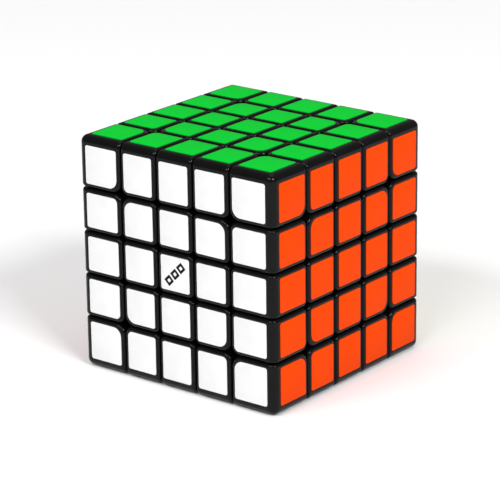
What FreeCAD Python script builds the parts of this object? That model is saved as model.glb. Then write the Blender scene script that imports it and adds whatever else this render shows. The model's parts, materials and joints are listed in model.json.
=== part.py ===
import FreeCAD, Part

# Five-layer twisty puzzle cube: 98 moulded pieces round a six-armed core.
#
# Millimetres. The origin is the core's centre, where every turning axis crosses. +Z is up, the
# green face is on top, the white face looks along -Y and the orange face along +X.
#
# Each turning axis has four cuts, one on each side of every inner layer. A cut is a surface of
# revolution about its axis, so the layers it divides can turn to any angle. Near the faces it is a
# plane, and further in it widens into cones. A step in the cones, FOOT_TOP_R from the centre, gives
# every piece a foot that reaches in under its neighbours. The six face centres are screwed to the
# core with springs and hold the tee centres, those hold the x centres and the mid edges, those
# hold the wing edges, and the wing edges hold the corners.

import math
import os
from itertools import product

V = FreeCAD.Vector

# ---- driving dimensions -------------------------------------------------------------------------
CUBE = 62.0  # across two opposite stickers
STICKER_T = 0.15
INNER_PITCH = 11.5  # width of each of the three inner layers; the two outer ones take the rest
GAP_HALF = 0.12  # half the running gap between neighbouring pieces inside the cube
FACE_GAP_HALF = 0.15  # the same near the faces

# Cuts. Angles are from the turning axis, and radii from the cube's centre.
OUTER_CONE, OUTER_FOOT = 60.0, 66.0  # cut between an outer layer and the next
INNER_CONE, INNER_FOOT = 75.0, 79.5  # cut beside the middle layer
FOOT_BOTTOM_R = 13.0
FOOT_TOP_R = 16.5
NECK_R = 33.0  # the outer cut is a plane beyond this

# Outlines
CUBE_EDGE_R = 1.9  # along the cube's twelve edges
RIM_R = 0.8  # round the rim of each piece
OUTLINE_R = 1.7  # plain corners of a piece's outline
OUTLINE_R_BIG = 2.9  # where a corner meets a cross centre
OUTLINE_R_WING = 2.2  # a wing edge's corner at that same meeting
ROUNDED_FROM_R = {1: 28.5, 2: 32.5, 3: 32.5}  # outlines are rounded beyond this, by faces shown

# Hollow insides
WALLS = {1: 1.1, 2: 1.2, 3: 1.5}  # by faces shown
CAVITY_FLOORS = {1: 20.0, 2: 20.0, 3: 33.0}  # distance from the cube's centre, by faces shown
SMALLEST_R = 0.2  # of an outline's corner inside a wall
WINDOW_BOTTOM, WINDOW_TOP = 21.5, 27.0  # side opening of an x centre or a tee centre

# Joint of a cap and its stem: a plane square to the piece's own axis, with a lip inside it
SEAMS = {1: 27.6, 2: 30.4, 3: 35.2}  # distance of the plane from the cube's centre, by faces shown
LIP_H = 1.2
LIP_SIDE_GAP = 0.05
LIP_END_GAP = 0.15

# Stickers
STICKER_MARGIN = 1.25  # from a cut
STICKER_EDGE_MARGIN = 2.5  # from the cube's edge
STICKER_R = 0.55
STICKER_R_BIG = 2.4
STICKER_R_WING = 1.3

# Face centre's base
WELL_R, WELL_FLOOR, WELL_WALL, WELL_TOP = 2.9, 19.0, 1.0, 27.2
SCREW_HOLE_R = 1.45
BOSS_R, BOSS_BOTTOM, BOSS_TOP = 2.2, 12.6, 14.0

# Screws, washers and springs, heights along each axis
SCREW_R, THREAD_ROOT_R, THREAD_PITCH = 1.25, 1.0, 0.7
SCREW_TIP, SCREW_TIP_R, SCREW_POINT_H, THREADS = 6.5, 0.6, 0.6, 8
HEAD_R, HEAD_BOTTOM, HEAD_H, HEAD_DOME = 2.4, 25.2, 1.6, 0.5
RECESS_W, RECESS_L, RECESS_D = 0.6, 2.6, 0.9
WASHER_R, WASHER_HOLE_R, WASHER_T = 2.65, 1.35, 0.45
SPRING_R, SPRING_WIRE_R, SPRING_TURNS = 2.1, 0.28, 5.5
SPRING_END_GAP = 0.05

# Core
HUB_R, ARM_R, ARM_END = 6.2, 2.9, 12.5
GUSSET_R, GUSSET_BOTTOM, GUSSET_TOP = 4.3, 4.6, 8.4
PILOT_R, PILOT_BOTTOM = 1.12, 5.8

# ---- derived ------------------------------------------------------------------------------------
FACE = CUBE / 2 - STICKER_T  # where the plastic ends
INNER_CUT = INNER_PITCH / 2
OUTER_CUT = INNER_CUT + INNER_PITCH
FAR = 60.0  # beyond the cube's corners
TINY = 1e-4

# A cell is a piece's place, -2 to 2 along each axis. Each kind of piece is made once, in this cell.
KINDS = {
    "corner": (2, 2, 2),
    "wing_edge": (2, 1, 2),
    "mid_edge": (2, 0, 2),
    "x_centre": (1, 1, 2),
    "t_centre": (1, 0, 2),
    "face_centre": (0, 0, 2),
}
LAYERS = {2: "top", 1: "upper_inner", 0: "middle", -1: "lower_inner", -2: "bottom"}
COLOURS = {
    (0, 0, 1): "green",
    (0, 0, -1): "blue",
    (0, -1, 0): "white",
    (0, 1, 0): "yellow",
    (1, 0, 0): "orange",
    (-1, 0, 0): "red",
}


# ---- turning and placing ------------------------------------------------------------------------
def rotations():
    """The 24 ways of turning a cube onto itself."""
    found = []
    for x_axis, y_axis in product(COLOURS, COLOURS):
        x, y = V(*x_axis), V(*y_axis)
        if abs(x.dot(y)) < 0.5:
            z = x.cross(y)
            m = FreeCAD.Matrix(x.x, y.x, z.x, 0, x.y, y.y, z.y, 0, x.z, y.z, z.z, 0)
            found.append(FreeCAD.Placement(m).Rotation)
    return found


def whole(vector):
    return tuple(int(round(c)) for c in vector)


ROTATIONS = rotations()
AXIS_TURNS = {d: next(r for r in ROTATIONS if whole(r.multVec(V(0, 0, 1))) == d) for d in COLOURS}


def turned(shape, rotation):
    copy = shape.copy()
    copy.Placement = FreeCAD.Placement(V(), rotation).multiply(copy.Placement)
    return copy


def places(kind):
    """Every cell that holds this kind of piece, with the rotation that carries the piece there."""
    found = {}
    for rotation in ROTATIONS:
        found.setdefault(whole(rotation.multVec(V(*KINDS[kind]))), rotation)
    return found


def box_between(lows, highs):
    return Part.makeBox(*[b - a for a, b in zip(lows, highs)], V(*lows))


def bar(radius, bottom, top):
    return Part.makeCylinder(radius, top - bottom, V(0, 0, bottom))


# ---- cuts ---------------------------------------------------------------------------------------
def line(start, end):
    return Part.LineSegment(start, end).toShape()


def arc(start, end):
    """The shorter arc about the origin from start to end."""
    middle = (start + end).normalize() * start.Length
    return Part.Arc(start, middle, end).toShape()


def revolved(edges):
    return Part.Face(Part.Wire(edges)).revolve(V(), V(0, 0, 1), 360)


def cone_point(radius, angle, inset):
    """The point, this far from the centre, of a cone's line set in by inset."""
    along, a = math.sqrt(radius**2 - inset**2), math.radians(angle)
    x = along * math.sin(a) - inset * math.cos(a)
    return V(x, 0, along * math.cos(a) + inset * math.sin(a))


def beyond_cut(outer, inset):
    """All that lies beyond an outer or an inner cut of the +Z axis, set in by inset."""
    cone, foot = (OUTER_CONE, OUTER_FOOT) if outer else (INNER_CONE, INNER_FOOT)
    plane = (OUTER_CUT if outer else INNER_CUT) + inset
    apex = V(0, 0, inset / math.sin(math.radians(foot)))
    foot_rim = cone_point(FOOT_TOP_R - inset, foot, inset)
    cone_start = cone_point(FOOT_TOP_R - inset, cone, inset)
    edges = [line(apex, foot_rim), arc(foot_rim, cone_start)]
    if outer:
        cone_end = cone_point(NECK_R - inset, cone, inset)
        plane_start = V(math.sqrt((NECK_R - inset) ** 2 - plane**2), 0, plane)
        edges += [line(cone_start, cone_end), arc(cone_end, plane_start)]
    else:
        a = math.radians(cone)
        plane_start = V((plane * math.sin(a) - inset) / math.cos(a), 0, plane)
        edges.append(line(cone_start, plane_start))
    rest = [plane_start, V(FAR, 0, plane), V(FAR, 0, FAR), V(0, 0, FAR), apex]
    return revolved(edges + [line(a, b) for a, b in zip(rest, rest[1:])])


def cell_between_cuts(shape, cell, inset):
    """The part of a shape that lies in a cell, set in by inset from every cut."""
    for n, layer in enumerate(cell):
        axis = tuple(int(k == n) for k in range(3))
        if layer == 2:
            shape = shape.common(turned(beyond_cut(True, inset), AXIS_TURNS[axis]))
        elif layer == 1:
            shape = shape.common(turned(beyond_cut(False, inset), AXIS_TURNS[axis]))
            shape = shape.cut(turned(beyond_cut(True, -inset), AXIS_TURNS[axis]))
        else:
            opposite = tuple(-k for k in axis)
            for side in (axis, opposite):
                shape = shape.cut(turned(beyond_cut(False, -inset), AXIS_TURNS[side]))
    return shape


# ---- outlines near the faces --------------------------------------------------------------------
def outline_radius(cell, at_outer_cuts):
    """Radius of an outline's corner; at_outer_cuts says that both its sides are outer cuts."""
    if not at_outer_cuts:
        return OUTLINE_R
    return OUTLINE_R_WING if cell == KINDS["wing_edge"] else OUTLINE_R_BIG


def edge_radius(edge, cell, box_top):
    """Radius for an edge of a piece's box, or None where only the rim is rounded."""
    middle = edge.CenterOfMass
    run = next(n for n in range(3) if abs(edge.tangentAt(0)[n]) > 0.5)
    across = [n for n in range(3) if n != run]
    at_face = [middle[n] > box_top - TINY for n in across]
    if all(at_face):
        return CUBE_EDGE_R
    if any(at_face) or cell[run] != 2:
        return None
    return outline_radius(cell, all(abs(middle[n] - OUTER_CUT) < INNER_CUT for n in across))


def on_surface_of_cube(face):
    """Whether a face is part of the outside of the whole cube."""
    u0, u1, v0, v1 = face.ParameterRange
    point = face.valueAt((u0 + u1) / 2, (v0 + v1) / 2)
    past = [c - (FACE - CUBE_EDGE_R) for c in point]
    outside = math.sqrt(sum(max(c, 0) ** 2 for c in past))
    return abs(outside - CUBE_EDGE_R) < TINY


def head(cell, inset):
    """A piece's head, a box with the cube's rounded edges and its own rounded corners."""
    limits = {
        2: (OUTER_CUT + FACE_GAP_HALF + inset, FACE - inset),
        1: (INNER_CUT + FACE_GAP_HALF + inset, OUTER_CUT - FACE_GAP_HALF - inset),
        0: (FACE_GAP_HALF + inset - INNER_CUT, INNER_CUT - FACE_GAP_HALF - inset),
    }
    lows, highs = zip(*[limits[layer] for layer in cell])
    if cell.count(2) == 1:
        lows = (*lows[:2], FOOT_TOP_R)
    box = box_between(lows, highs)
    middles = {}
    for edge in box.Edges:
        radius = edge_radius(edge, cell, FACE - inset)
        if radius:
            middles.setdefault(max(radius - inset, SMALLEST_R), []).append(edge.CenterOfMass)
    for radius in sorted(middles, reverse=True):
        points = [Part.Vertex(p) for p in middles[radius]]
        edges = [e for e in box.Edges if min(e.distToShape(p)[0] for p in points) < TINY]
        box = box.makeFillet(radius, edges)
    return box


def with_rim(box):
    """The head with its rim rounded where it shows."""
    rim = []
    for edge in box.Edges:
        shown = [on_surface_of_cube(f) for f in box.ancestorsOfType(edge, Part.Face)]
        if sorted(shown) == [False, True]:
            rim.append(edge)
    return box.makeFillet(RIM_R, rim)


def filled(cell, inset, bottom_r):
    """A piece's whole body, set in by inset and filled down to bottom_r from the cube's centre."""
    shape = head(cell, inset)
    if inset == 0:
        shape = with_rim(shape)
    shape = shape.fuse(Part.makeSphere(ROUNDED_FROM_R[cell.count(2)] - inset))
    shape = cell_between_cuts(shape, cell, GAP_HALF + inset)
    return shape.cut(Part.makeSphere(bottom_r))


# ---- mouldings ----------------------------------------------------------------------------------
def above_seam(cell, extra):
    """All that lies beyond the seam of a piece's cap and stem, moved out by extra."""
    slab = Part.makeBox(2 * FAR, 2 * FAR, FAR, V(-FAR, -FAR, SEAMS[cell.count(2)] + extra))
    own_axis = V(*[int(layer == 2) for layer in cell])
    return turned(slab, FreeCAD.Rotation(V(0, 0, 1), own_axis))


def cap_and_stem(cell):
    """The two hollow mouldings of a piece. The stem's lip stands inside the cap's rim."""
    wall, floor = WALLS[cell.count(2)], CAVITY_FLOORS[cell.count(2)]
    outside = filled(cell, 0, FOOT_BOTTOM_R)
    cavity = filled(cell, wall, floor)
    upper = above_seam(cell, 0)
    recess = filled(cell, wall / 2, floor).common(upper).cut(above_seam(cell, LIP_H))
    lip = filled(cell, wall / 2 + LIP_SIDE_GAP, floor).common(upper)
    lip = lip.cut(above_seam(cell, LIP_H - LIP_END_GAP))
    cap = outside.common(upper).cut(cavity).cut(recess)
    stem = outside.cut(upper).fuse(lip).cut(cavity)
    return cap.removeSplitter(), stem.removeSplitter()


def window(cell):
    """Side opening that clears the hollow of an x centre or a tee centre, on its outer side."""
    wall = WALLS[1]
    y_low = INNER_CUT + 2 * wall if cell[1] else 2 * wall - INNER_CUT
    y_high = OUTER_CUT - 4 * wall if cell[1] else INNER_CUT - 2 * wall
    return box_between((INNER_PITCH, y_low, WINDOW_BOTTOM), (OUTER_CUT, y_high, WINDOW_TOP))


def one_piece(cell):
    """An x centre or a tee centre, hollow and open on one side."""
    hollow = filled(cell, WALLS[1], CAVITY_FLOORS[1]).fuse(window(cell))
    return filled(cell, 0, FOOT_BOTTOM_R).cut(hollow).removeSplitter()


def face_centre():
    """A face centre's cap and its base, which holds the spring in a round well."""
    cap, base = cap_and_stem(KINDS["face_centre"])
    base = base.fuse(bar(WELL_R + WELL_WALL, WELL_FLOOR, WELL_TOP))
    base = base.fuse(bar(BOSS_R, BOSS_BOTTOM, BOSS_TOP))
    base = base.cut(bar(WELL_R, WELL_FLOOR, WELL_TOP)).cut(bar(SCREW_HOLE_R, BOSS_BOTTOM, WELL_TOP))
    return cap, base.removeSplitter()


def mouldings():
    """One of each moulding, in its kind's own cell, as (kind, name, shape)."""
    found = []
    for kind in ("corner", "wing_edge", "mid_edge"):
        cap, stem = cap_and_stem(KINDS[kind])
        found += [(kind, kind + "_cap", cap), (kind, kind + "_stem", stem)]
    for kind in ("x_centre", "t_centre"):
        found.append((kind, kind, one_piece(KINDS[kind])))
    cap, base = face_centre()
    found += [("face_centre", "face_centre_cap", cap), ("face_centre", "face_centre_base", base)]
    return found


# ---- stickers -----------------------------------------------------------------------------------
def sticker_span(layer):
    """A sticker's two edges along one axis."""
    limits = {
        2: (OUTER_CUT + STICKER_MARGIN, CUBE / 2 - STICKER_EDGE_MARGIN),
        1: (INNER_CUT + STICKER_MARGIN, OUTER_CUT - STICKER_MARGIN),
        0: (STICKER_MARGIN - INNER_CUT, INNER_CUT - STICKER_MARGIN),
    }
    low, high = limits[abs(layer)]
    return (low, high) if layer >= 0 else (-high, -low)


def at_corner(edge, corner):
    return math.hypot(edge.CenterOfMass.x - corner[0], edge.CenterOfMass.y - corner[1]) < TINY


def sticker(a, b):
    """The sticker on the +Z face at this place. Its corner nearest an x centre is rounder."""
    x_span, y_span = sticker_span(a), sticker_span(b)
    shape = box_between((x_span[0], y_span[0], FACE), (x_span[1], y_span[1], CUBE / 2))
    crossing = (math.copysign(OUTER_CUT, a), math.copysign(OUTER_CUT, b))
    corners = sorted(product(x_span, y_span), key=lambda c: math.dist(c, crossing))
    if a and b:
        radius = STICKER_R_BIG if abs(a) == abs(b) else STICKER_R_WING
        first = corners.pop(0)
        shape = shape.makeFillet(radius, [e for e in shape.Edges if at_corner(e, first)])
    return shape.makeFillet(STICKER_R, [e for e in shape.Edges if any(at_corner(e, c) for c in corners)])


# ---- hardware -----------------------------------------------------------------------------------
def screw():
    """Pan-head screw with ring-shaped threads and a cross recess."""
    start = SCREW_TIP + SCREW_POINT_H
    points = [(0, SCREW_TIP), (SCREW_TIP_R, SCREW_TIP), (THREAD_ROOT_R, start)]
    for n in range(THREADS):
        crest = start + (n + 0.5) * THREAD_PITCH
        points += [(SCREW_R, crest), (THREAD_ROOT_R, crest + THREAD_PITCH / 2)]
    end = start + THREADS * THREAD_PITCH
    points += [(SCREW_R, end), (SCREW_R, HEAD_BOTTOM), (0, HEAD_BOTTOM), (0, SCREW_TIP)]
    shank = Part.Face(Part.makePolygon([V(r, 0, z) for r, z in points])).revolve(V(), V(0, 0, 1), 360)
    top = HEAD_BOTTOM + HEAD_H
    pan = bar(HEAD_R, HEAD_BOTTOM, top)
    pan = pan.makeFillet(HEAD_DOME, [e for e in pan.Edges if abs(e.CenterOfMass.z - top) < TINY])
    recess = Part.makeBox(RECESS_L, RECESS_W, RECESS_D, V(-RECESS_L / 2, -RECESS_W / 2, top - RECESS_D))
    crossed = turned(recess, FreeCAD.Rotation(V(0, 0, 1), 90))
    return shank.fuse(pan).cut(recess.fuse(crossed)).removeSplitter()


def washer():
    outside = bar(WASHER_R, HEAD_BOTTOM - WASHER_T, HEAD_BOTTOM)
    return outside.cut(bar(WASHER_HOLE_R, HEAD_BOTTOM - WASHER_T, HEAD_BOTTOM))


def spring():
    """Coil spring between the well's floor and the washer."""
    bottom = WELL_FLOOR + SPRING_END_GAP + SPRING_WIRE_R
    rise = HEAD_BOTTOM - WASHER_T - SPRING_END_GAP - SPRING_WIRE_R - bottom
    helix = Part.makeHelix(rise / SPRING_TURNS, rise, SPRING_R)
    helix.translate(V(0, 0, bottom))
    ring = Part.Wire(Part.makeCircle(SPRING_WIRE_R, V(SPRING_R, 0, bottom), V(0, 1, 0)))
    return Part.Solid(Part.Wire(helix.Edges).makePipeShell([ring], True, True))


def core():
    """Round hub with six arms, each with a gusset at its root and a pilot hole for its screw."""
    gusset = Part.makeCone(GUSSET_R, ARM_R, GUSSET_TOP - GUSSET_BOTTOM, V(0, 0, GUSSET_BOTTOM))
    arm = bar(ARM_R, 0, ARM_END).fuse(gusset)
    pilot = bar(PILOT_R, PILOT_BOTTOM, ARM_END)
    shape = Part.makeSphere(HUB_R)
    for rotation in AXIS_TURNS.values():
        shape = shape.fuse(turned(arm, rotation))
    for rotation in AXIS_TURNS.values():
        shape = shape.cut(turned(pilot, rotation))
    return shape.removeSplitter()


# ---- nodes --------------------------------------------------------------------------------------
def layered_mouldings():
    """Every moulding of every piece, by layer and name."""
    nodes = {}
    for kind, name, shape in mouldings():
        for place, rotation in places(kind).items():
            nodes.setdefault(LAYERS[place[2]] + "_" + name, []).append(turned(shape, rotation))
    return {name if len(shapes) == 1 else name + "s": shapes for name, shapes in nodes.items()}


def layered_stickers():
    """Every sticker, by layer and colour."""
    nodes = {}
    for a, b in product(range(-2, 3), repeat=2):
        shape = sticker(a, b)
        for direction, rotation in AXIS_TURNS.items():
            layer = LAYERS[whole(rotation.multVec(V(a, b, 2)))[2]]
            name = layer + "_" + COLOURS[direction] + "_stickers"
            nodes.setdefault(name, []).append(turned(shape, rotation))
    return nodes


def six_of(shape):
    return [turned(shape, rotation) for rotation in AXIS_TURNS.values()]


def all_nodes():
    nodes = layered_mouldings()
    nodes.update(layered_stickers())
    nodes["core"] = [core()]
    nodes["tension_screws"] = six_of(screw())
    nodes["washers"] = six_of(washer())
    nodes["springs"] = six_of(spring())
    return nodes


os.makedirs("parts", exist_ok=True)
for node, shapes in all_nodes().items():
    node_shape = shapes[0] if len(shapes) == 1 else Part.makeCompound(shapes)
    node_shape.exportStep("parts/" + node + ".step")
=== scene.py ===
import json
import math
from random import Random

import bpy
from mathutils import Matrix, Vector


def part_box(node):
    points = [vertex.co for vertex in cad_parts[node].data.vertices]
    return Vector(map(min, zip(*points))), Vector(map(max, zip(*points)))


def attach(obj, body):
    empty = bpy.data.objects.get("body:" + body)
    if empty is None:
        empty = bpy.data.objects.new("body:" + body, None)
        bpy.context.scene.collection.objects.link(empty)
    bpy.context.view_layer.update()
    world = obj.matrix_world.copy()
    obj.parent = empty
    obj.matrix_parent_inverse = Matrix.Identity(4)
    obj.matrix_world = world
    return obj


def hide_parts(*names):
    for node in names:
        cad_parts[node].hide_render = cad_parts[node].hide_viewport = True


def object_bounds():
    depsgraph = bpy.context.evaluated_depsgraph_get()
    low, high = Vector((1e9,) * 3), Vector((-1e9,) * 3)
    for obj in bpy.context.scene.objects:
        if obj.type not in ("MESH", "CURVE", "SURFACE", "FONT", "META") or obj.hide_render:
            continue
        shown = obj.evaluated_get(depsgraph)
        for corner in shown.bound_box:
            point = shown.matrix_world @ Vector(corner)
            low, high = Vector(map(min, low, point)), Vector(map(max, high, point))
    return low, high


# The look of a five-layer twisty puzzle cube: materials, 150 stickers, light and camera
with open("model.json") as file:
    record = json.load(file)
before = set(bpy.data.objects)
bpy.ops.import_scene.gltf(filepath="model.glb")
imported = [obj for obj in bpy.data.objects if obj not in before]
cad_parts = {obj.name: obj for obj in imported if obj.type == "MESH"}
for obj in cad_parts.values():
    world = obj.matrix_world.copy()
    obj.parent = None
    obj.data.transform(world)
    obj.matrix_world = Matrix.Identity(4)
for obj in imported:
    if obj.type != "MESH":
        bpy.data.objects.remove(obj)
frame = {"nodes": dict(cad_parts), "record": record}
cad_low, cad_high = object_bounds()
MM = 0.001

# ---- stickers' sizes ----------------------------------------------------------------------------
STICKER_R = {"plain": 0.55 * MM, "medium": 1.3 * MM, "large": 2.4 * MM}  # of their corners
SOFT_EDGE = 0.035 * MM
EDGE_STEPS = 3
ARC_STEPS = 7
SHARP_ANGLE = 40
SHIFT, TWIST = 0.03 * MM, 0.25  # how far a sticker is laid off its place, and its turn in degrees
SEED = 11

# The printed mark: a row of three squares on the slant
MARK_STEP = 2.7 * MM
MARK_R = 0.76 * MM  # from a square's middle to the middle of its line
MARK_HALF_WIDTH = 0.34 * MM
MARK_BLUR = 0.03 * MM
INK = (0.01, 0.01, 0.01)

# ---- light and camera ---------------------------------------------------------------------------
FLOOR_SIZE = 8  # metres
FLOOR_GAP = 0.02 * MM  # keeps the floor out of the plane of the stickers that stand on it
FLOOR_GREYS = (0.94, 0.94, 0.94), (0.955, 0.955, 0.955)
WORLD_STRENGTH = 0.29
LIGHT_DISTANCE = 2.4
# Azimuth 0 is the white face's side and 90 the orange's; then elevation, width and height, power
LIGHTS = {
    "left_box": (-2, 43, (1.9, 0.5), 33),
    "right_box": (72, 37, (0.9, 0.5), 39),
    "top_box": (200, 78, (2.2, 2.2), 14),
}
CAMERA_PLACE = (0.39393, -0.49744, 0.21203)
CAMERA_TURN = (71.366, 0.714, 38.200)
CAMERA_LENS = 187.93
CAMERA_SHIFT = (0.001, -0.001)

# ---- materials ----------------------------------------------------------------------------------
COLOURS = {
    "green": (0.0, 0.53, 0.031),
    "blue": (0.008, 0.075, 0.48),
    "white": (0.78, 0.78, 0.78),
    "yellow": (0.93, 0.66, 0.015),
    "orange": (0.79, 0.0565, 0.0),
    "red": (0.52, 0.012, 0.014),
}


class Nodes:
    """Builds one procedural material on a Principled shader."""

    def __init__(self, name):
        self.material = bpy.data.materials.new(name)
        self.material.use_nodes = True
        self.tree = self.material.node_tree
        self.shader = self.tree.nodes["Principled BSDF"]
        self.place = self.tree.nodes.new("ShaderNodeTexCoord").outputs["Object"]

    def add(self, kind, values=None, **settings):
        """A new node. A value that is a socket is linked, and any other is set."""
        node = self.tree.nodes.new(kind)
        for key, value in settings.items():
            setattr(node, key, value)
        for key, value in (values or {}).items():
            self.put(value, node.inputs[key])
        return node

    def put(self, value, socket):
        if isinstance(value, bpy.types.NodeSocket):
            self.tree.links.new(value, socket)
        else:
            socket.default_value = value

    def noise(self, size_mm, detail=3.0):
        values = {"Vector": self.place, "Scale": 1 / (size_mm * MM), "Detail": detail}
        return self.add("ShaderNodeTexNoise", values).outputs["Fac"]

    def spread(self, value, low, high, start=0.3, end=0.7):
        values = {"Value": value, "From Min": start, "From Max": end, "To Min": low, "To Max": high}
        return self.add("ShaderNodeMapRange", values).outputs["Result"]

    def math(self, operation, first, second=0.0):
        return self.add("ShaderNodeMath", {0: first, 1: second}, operation=operation).outputs[0]

    def along(self, x, y):
        """How far the place is from the middle, along a direction in the sticker's plane."""
        direction = Vector((x, y, 0)).normalized()
        values = {0: self.place, 1: direction}
        node = self.add("ShaderNodeVectorMath", values, operation="DOT_PRODUCT")
        return self.math("ABSOLUTE", node.outputs["Value"])

    def mix(self, factor, first, second):
        """A colour between two, each a socket or an RGB triple."""
        node = self.add("ShaderNodeMix", {"Factor": factor}, data_type="RGBA")
        for key, value in (("A", first), ("B", second)):
            socket = next(s for s in node.inputs if s.name == key and s.type == "RGBA")
            self.put((*value, 1) if isinstance(value, tuple) else value, socket)
        return next(s for s in node.outputs if s.type == "RGBA")

    def clouded(self, size_mm, first, second, detail=3.0):
        """Soft patches of two colours."""
        return self.mix(self.spread(self.noise(size_mm, detail), 0, 1), first, second)

    def bump(self, height, depth_mm, strength, under=None):
        values = {"Height": height, "Distance": depth_mm * MM, "Strength": strength}
        if under:
            values["Normal"] = under
        return self.add("ShaderNodeBump", values).outputs["Normal"]

    def finish(self, **values):
        for key, value in values.items():
            self.put(value, self.shader.inputs[key.replace("_", " ")])
        return self.material


def body_plastic():
    """Glossy black moulding, with a faint orange peel."""
    m = Nodes("body_plastic")
    colour = m.clouded(6.0, (0.0022, 0.0021, 0.0022), (0.0036, 0.0034, 0.0035))
    rough = m.spread(m.noise(2.2, detail=5.0), 0.09, 0.15)
    peel = m.bump(m.noise(1.1, detail=1.0), 0.005, 0.4)
    normal = m.bump(m.noise(0.12, detail=2.0), 0.001, 0.4, peel)
    return m.finish(Base_Color=colour, Roughness=rough, Normal=normal, Specular_IOR_Level=0.135)


def with_mark(m, colour):
    """The colour, with three plain printed squares in a slanting row."""
    along, across = m.along(1, 1), m.along(-1, 1)
    nearest = m.math("PINGPONG", along, MARK_STEP / 2)
    off = m.math("SUBTRACT", m.math("MAXIMUM", nearest, across), MARK_R)
    edges = MARK_HALF_WIDTH - MARK_BLUR, MARK_HALF_WIDTH + MARK_BLUR
    ink = m.spread(m.math("ABSOLUTE", off), 1, 0, *edges)
    ink = m.math("MULTIPLY", ink, m.math("LESS_THAN", along, MARK_STEP * 1.5))
    return m.mix(ink, colour, INK)


def vinyl(name, rgb, mark=False):
    """Satin film."""
    m = Nodes(name)
    darker = tuple(c * 0.955 for c in rgb)
    colour = m.clouded(5.0, darker, rgb, detail=4.0)
    if mark:
        colour = with_mark(m, colour)
    rough = m.spread(m.noise(1.6, detail=6.0), 0.42, 0.55)
    normal = m.bump(m.noise(0.35, detail=2.0), 0.004, 0.4)
    return m.finish(Base_Color=colour, Roughness=rough, Normal=normal, Specular_IOR_Level=0.035)


def core_plastic():
    """Off-white moulding with a fine texture."""
    m = Nodes("core_plastic")
    colour = m.clouded(3.0, (0.62, 0.62, 0.60), (0.74, 0.74, 0.72))
    rough = m.spread(m.noise(0.8), 0.40, 0.55)
    return m.finish(Base_Color=colour, Roughness=rough, Normal=m.bump(m.noise(0.1), 0.004, 0.6))


def steel(name, tint, smooth, rough, grain_mm):
    m = Nodes(name)
    colour = m.clouded(grain_mm * 4, tuple(c * 0.8 for c in tint), tint)
    roughness = m.spread(m.noise(grain_mm), smooth, rough)
    normal = m.bump(m.noise(grain_mm / 3), 0.003, 0.5)
    return m.finish(Base_Color=colour, Metallic=1.0, Roughness=roughness, Normal=normal)


MATERIALS = {
    "body_plastic": body_plastic(),
    "core_plastic": core_plastic(),
    "screw_steel": steel("screw_steel", (0.66, 0.65, 0.62), 0.25, 0.4, 0.6),
    "washer_steel": steel("washer_steel", (0.60, 0.60, 0.60), 0.3, 0.45, 0.4),
    "spring_steel": steel("spring_steel", (0.52, 0.52, 0.53), 0.22, 0.34, 0.3),
    "marked_vinyl": vinyl("marked_vinyl", COLOURS["white"], mark=True),
}
for colour_name, rgb in COLOURS.items():
    MATERIALS[colour_name + "_vinyl"] = vinyl(colour_name + "_vinyl", rgb)

for part in frame["record"]["subparts"]:
    mesh = frame["nodes"][part["node"]].data
    mesh.materials.clear()
    mesh.materials.append(MATERIALS[part["material_slot"]])

# ---- stickers -----------------------------------------------------------------------------------
LAYERS = {2: "top", 1: "upper_inner", 0: "middle", -1: "lower_inner", -2: "bottom"}
# Each face's outward direction, and the direction of its stickers' first axis
FACES = {
    "green": ((0, 0, 1), (1, 0, 0)),
    "blue": ((0, 0, -1), (1, 0, 0)),
    "white": ((0, -1, 0), (1, 0, 0)),
    "yellow": ((0, 1, 0), (-1, 0, 0)),
    "orange": ((1, 0, 0), (0, 1, 0)),
    "red": ((-1, 0, 0), (0, -1, 0)),
}
PLACES = [(a, b) for a in range(-2, 3) for b in range(-2, 3)]  # the 25 places of a face


def span(layer):
    """A sticker's two edges along one axis, as the CAD has them."""
    low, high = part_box(LAYERS[abs(layer)] + "_white_stickers")
    return (low.z, high.z) if layer >= 0 else (-high.z, -low.z)


def corner_radii(a, b):
    """Radii of a sticker's corners. The one at a crossing of two outer cuts is rounder."""
    radii = {corner: STICKER_R["plain"] for corner in ((0, 0), (0, 1), (1, 0), (1, 1))}
    if a and b:
        near_x = (abs(a) == 1) == (a > 0)
        near_y = (abs(b) == 1) == (b > 0)
        radii[int(near_x), int(near_y)] = STICKER_R["large" if abs(a) == abs(b) else "medium"]
    return radii


def outline(x_span, y_span, radii, inset):
    """A rectangle with rounded corners, as points in order round it."""
    points = []
    turns = (((1, 1), 0), ((0, 1), 90), ((0, 0), 180), ((1, 0), 270))
    for (i, j), start in turns:
        radius = max(radii[i, j] - inset, radii[i, j] / 4)
        x = x_span[i] + (inset + radius) * (1 - 2 * i)
        y = y_span[j] + (inset + radius) * (1 - 2 * j)
        for step in range(ARC_STEPS + 1):
            angle = math.radians(start + 90 * step / ARC_STEPS)
            points.append((x + radius * math.cos(angle), y + radius * math.sin(angle)))
    return points


def sticker_mesh(name, a, b, bottom, top):
    """A sticker for the place a, b of a face, with soft edges."""
    rings = [(0, bottom), (0, top - SOFT_EDGE)]
    for step in range(1, EDGE_STEPS + 1):
        angle = math.pi / 2 * step / EDGE_STEPS
        rings.append((SOFT_EDGE * (1 - math.cos(angle)), top - SOFT_EDGE * (1 - math.sin(angle))))
    points, faces = [], []
    for inset, z in rings:
        points += [(x, y, z) for x, y in outline(span(a), span(b), corner_radii(a, b), inset)]
    n = len(points) // len(rings)
    for ring in range(len(rings) - 1):
        for k in range(n):
            start, after = ring * n + k, ring * n + (k + 1) % n
            faces.append((start, after, after + n, start + n))
    faces.append(tuple(range((len(rings) - 1) * n, len(rings) * n)))
    faces.append(tuple(reversed(range(n))))
    mesh = bpy.data.meshes.new(name)
    mesh.from_pydata(points, [], faces)
    mesh.shade_smooth()
    mesh.set_sharp_from_angle(angle=math.radians(SHARP_ANGLE))
    return mesh


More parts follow.
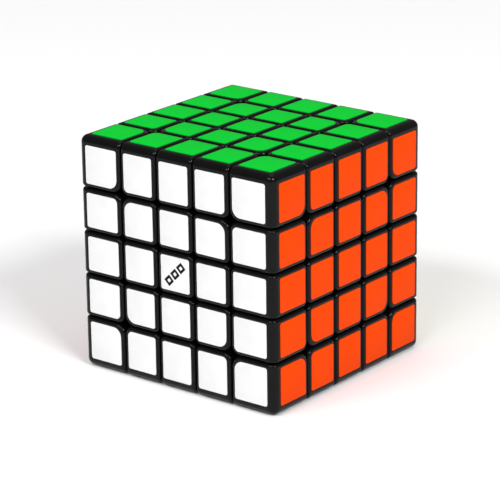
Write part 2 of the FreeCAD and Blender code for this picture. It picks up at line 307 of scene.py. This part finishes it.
def laid_by_hand(middle, random):
    """A small turn about the sticker's middle, and a small shift."""
    turn = Matrix.Rotation(math.radians(random.uniform(-TWIST, TWIST)), 4, "Z")
    shift = Vector((random.uniform(-SHIFT, SHIFT), random.uniform(-SHIFT, SHIFT), 0))
    return Matrix.Translation(middle + shift) @ turn @ Matrix.Translation(-middle)


def lay_face(colour_name, random):
    """One face's 25 stickers, each a piece of the layer that it is on."""
    out, across = (Vector(direction) for direction in FACES[colour_name])
    facing = Matrix((across, out.cross(across), out)).transposed().to_4x4()
    low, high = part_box("top_green_stickers")
    counts = {}
    for a, b in PLACES:
        layer = LAYERS[round((facing @ Vector((a, b, 2))).z)]
        counts[layer] = counts.get(layer, 0) + 1
        name = layer + "_" + colour_name + "_sticker_" + str(counts[layer])
        mesh = sticker_mesh(name, a, b, low.z, high.z)
        piece = bpy.data.objects.new(name, mesh)
        bpy.context.scene.collection.objects.link(piece)
        middle = Vector((sum(span(a)) / 2, sum(span(b)) / 2, 0))
        piece.matrix_world = facing @ laid_by_hand(middle, random)
        marked = colour_name == "white" and (a, b) == (0, 0)
        mesh.materials.append(MATERIALS["marked_vinyl" if marked else colour_name + "_vinyl"])
        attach(piece, layer + "_layer")
        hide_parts(layer + "_" + colour_name + "_stickers")


def lay_stickers():
    random = Random(SEED)
    for colour_name in FACES:
        lay_face(colour_name, random)


# ---- stage --------------------------------------------------------------------------------------
def lay_floor():
    bpy.ops.mesh.primitive_plane_add(size=FLOOR_SIZE, location=(0, 0, cad_low.z - FLOOR_GAP))
    floor = bpy.context.object
    floor.name = "floor"
    m = Nodes("floor")
    floor.data.materials.append(m.finish(Base_Color=m.clouded(300, *FLOOR_GREYS), Roughness=0.8))


def softbox(name, azimuth, elevation, size, power):
    """A rectangular light that faces the cube."""
    data = bpy.data.lights.new(name, "AREA")
    data.shape = "RECTANGLE"
    data.size, data.size_y = size
    data.energy = power
    light = bpy.data.objects.new(name, data)
    a, e = math.radians(azimuth), math.radians(elevation)
    away = Vector((math.sin(a) * math.cos(e), -math.cos(a) * math.cos(e), math.sin(e)))
    light.location = away * LIGHT_DISTANCE
    light.rotation_euler = away.to_track_quat("Z", "Y").to_euler()
    bpy.context.scene.collection.objects.link(light)


def light_stage():
    world = bpy.data.worlds.new("studio")
    world.use_nodes = True
    background = world.node_tree.nodes["Background"]
    background.inputs["Color"].default_value = (1, 1, 1, 1)
    background.inputs["Strength"].default_value = WORLD_STRENGTH
    bpy.context.scene.world = world
    for name, (azimuth, elevation, size, power) in LIGHTS.items():
        softbox(name, azimuth, elevation, size, power)


def set_camera():
    camera = bpy.data.objects.new("camera", bpy.data.cameras.new("camera"))
    camera.location = CAMERA_PLACE
    camera.rotation_euler = [math.radians(a) for a in CAMERA_TURN]
    camera.data.lens = CAMERA_LENS
    camera.data.sensor_width = 36
    camera.data.shift_x, camera.data.shift_y = CAMERA_SHIFT
    camera.data.clip_start = 0.05
    camera.data.clip_end = 20
    bpy.context.scene.collection.objects.link(camera)
    bpy.context.scene.camera = camera


lay_stickers()
lay_floor()
light_stage()
set_camera()
bpy.context.scene.view_settings.view_transform = "Standard"
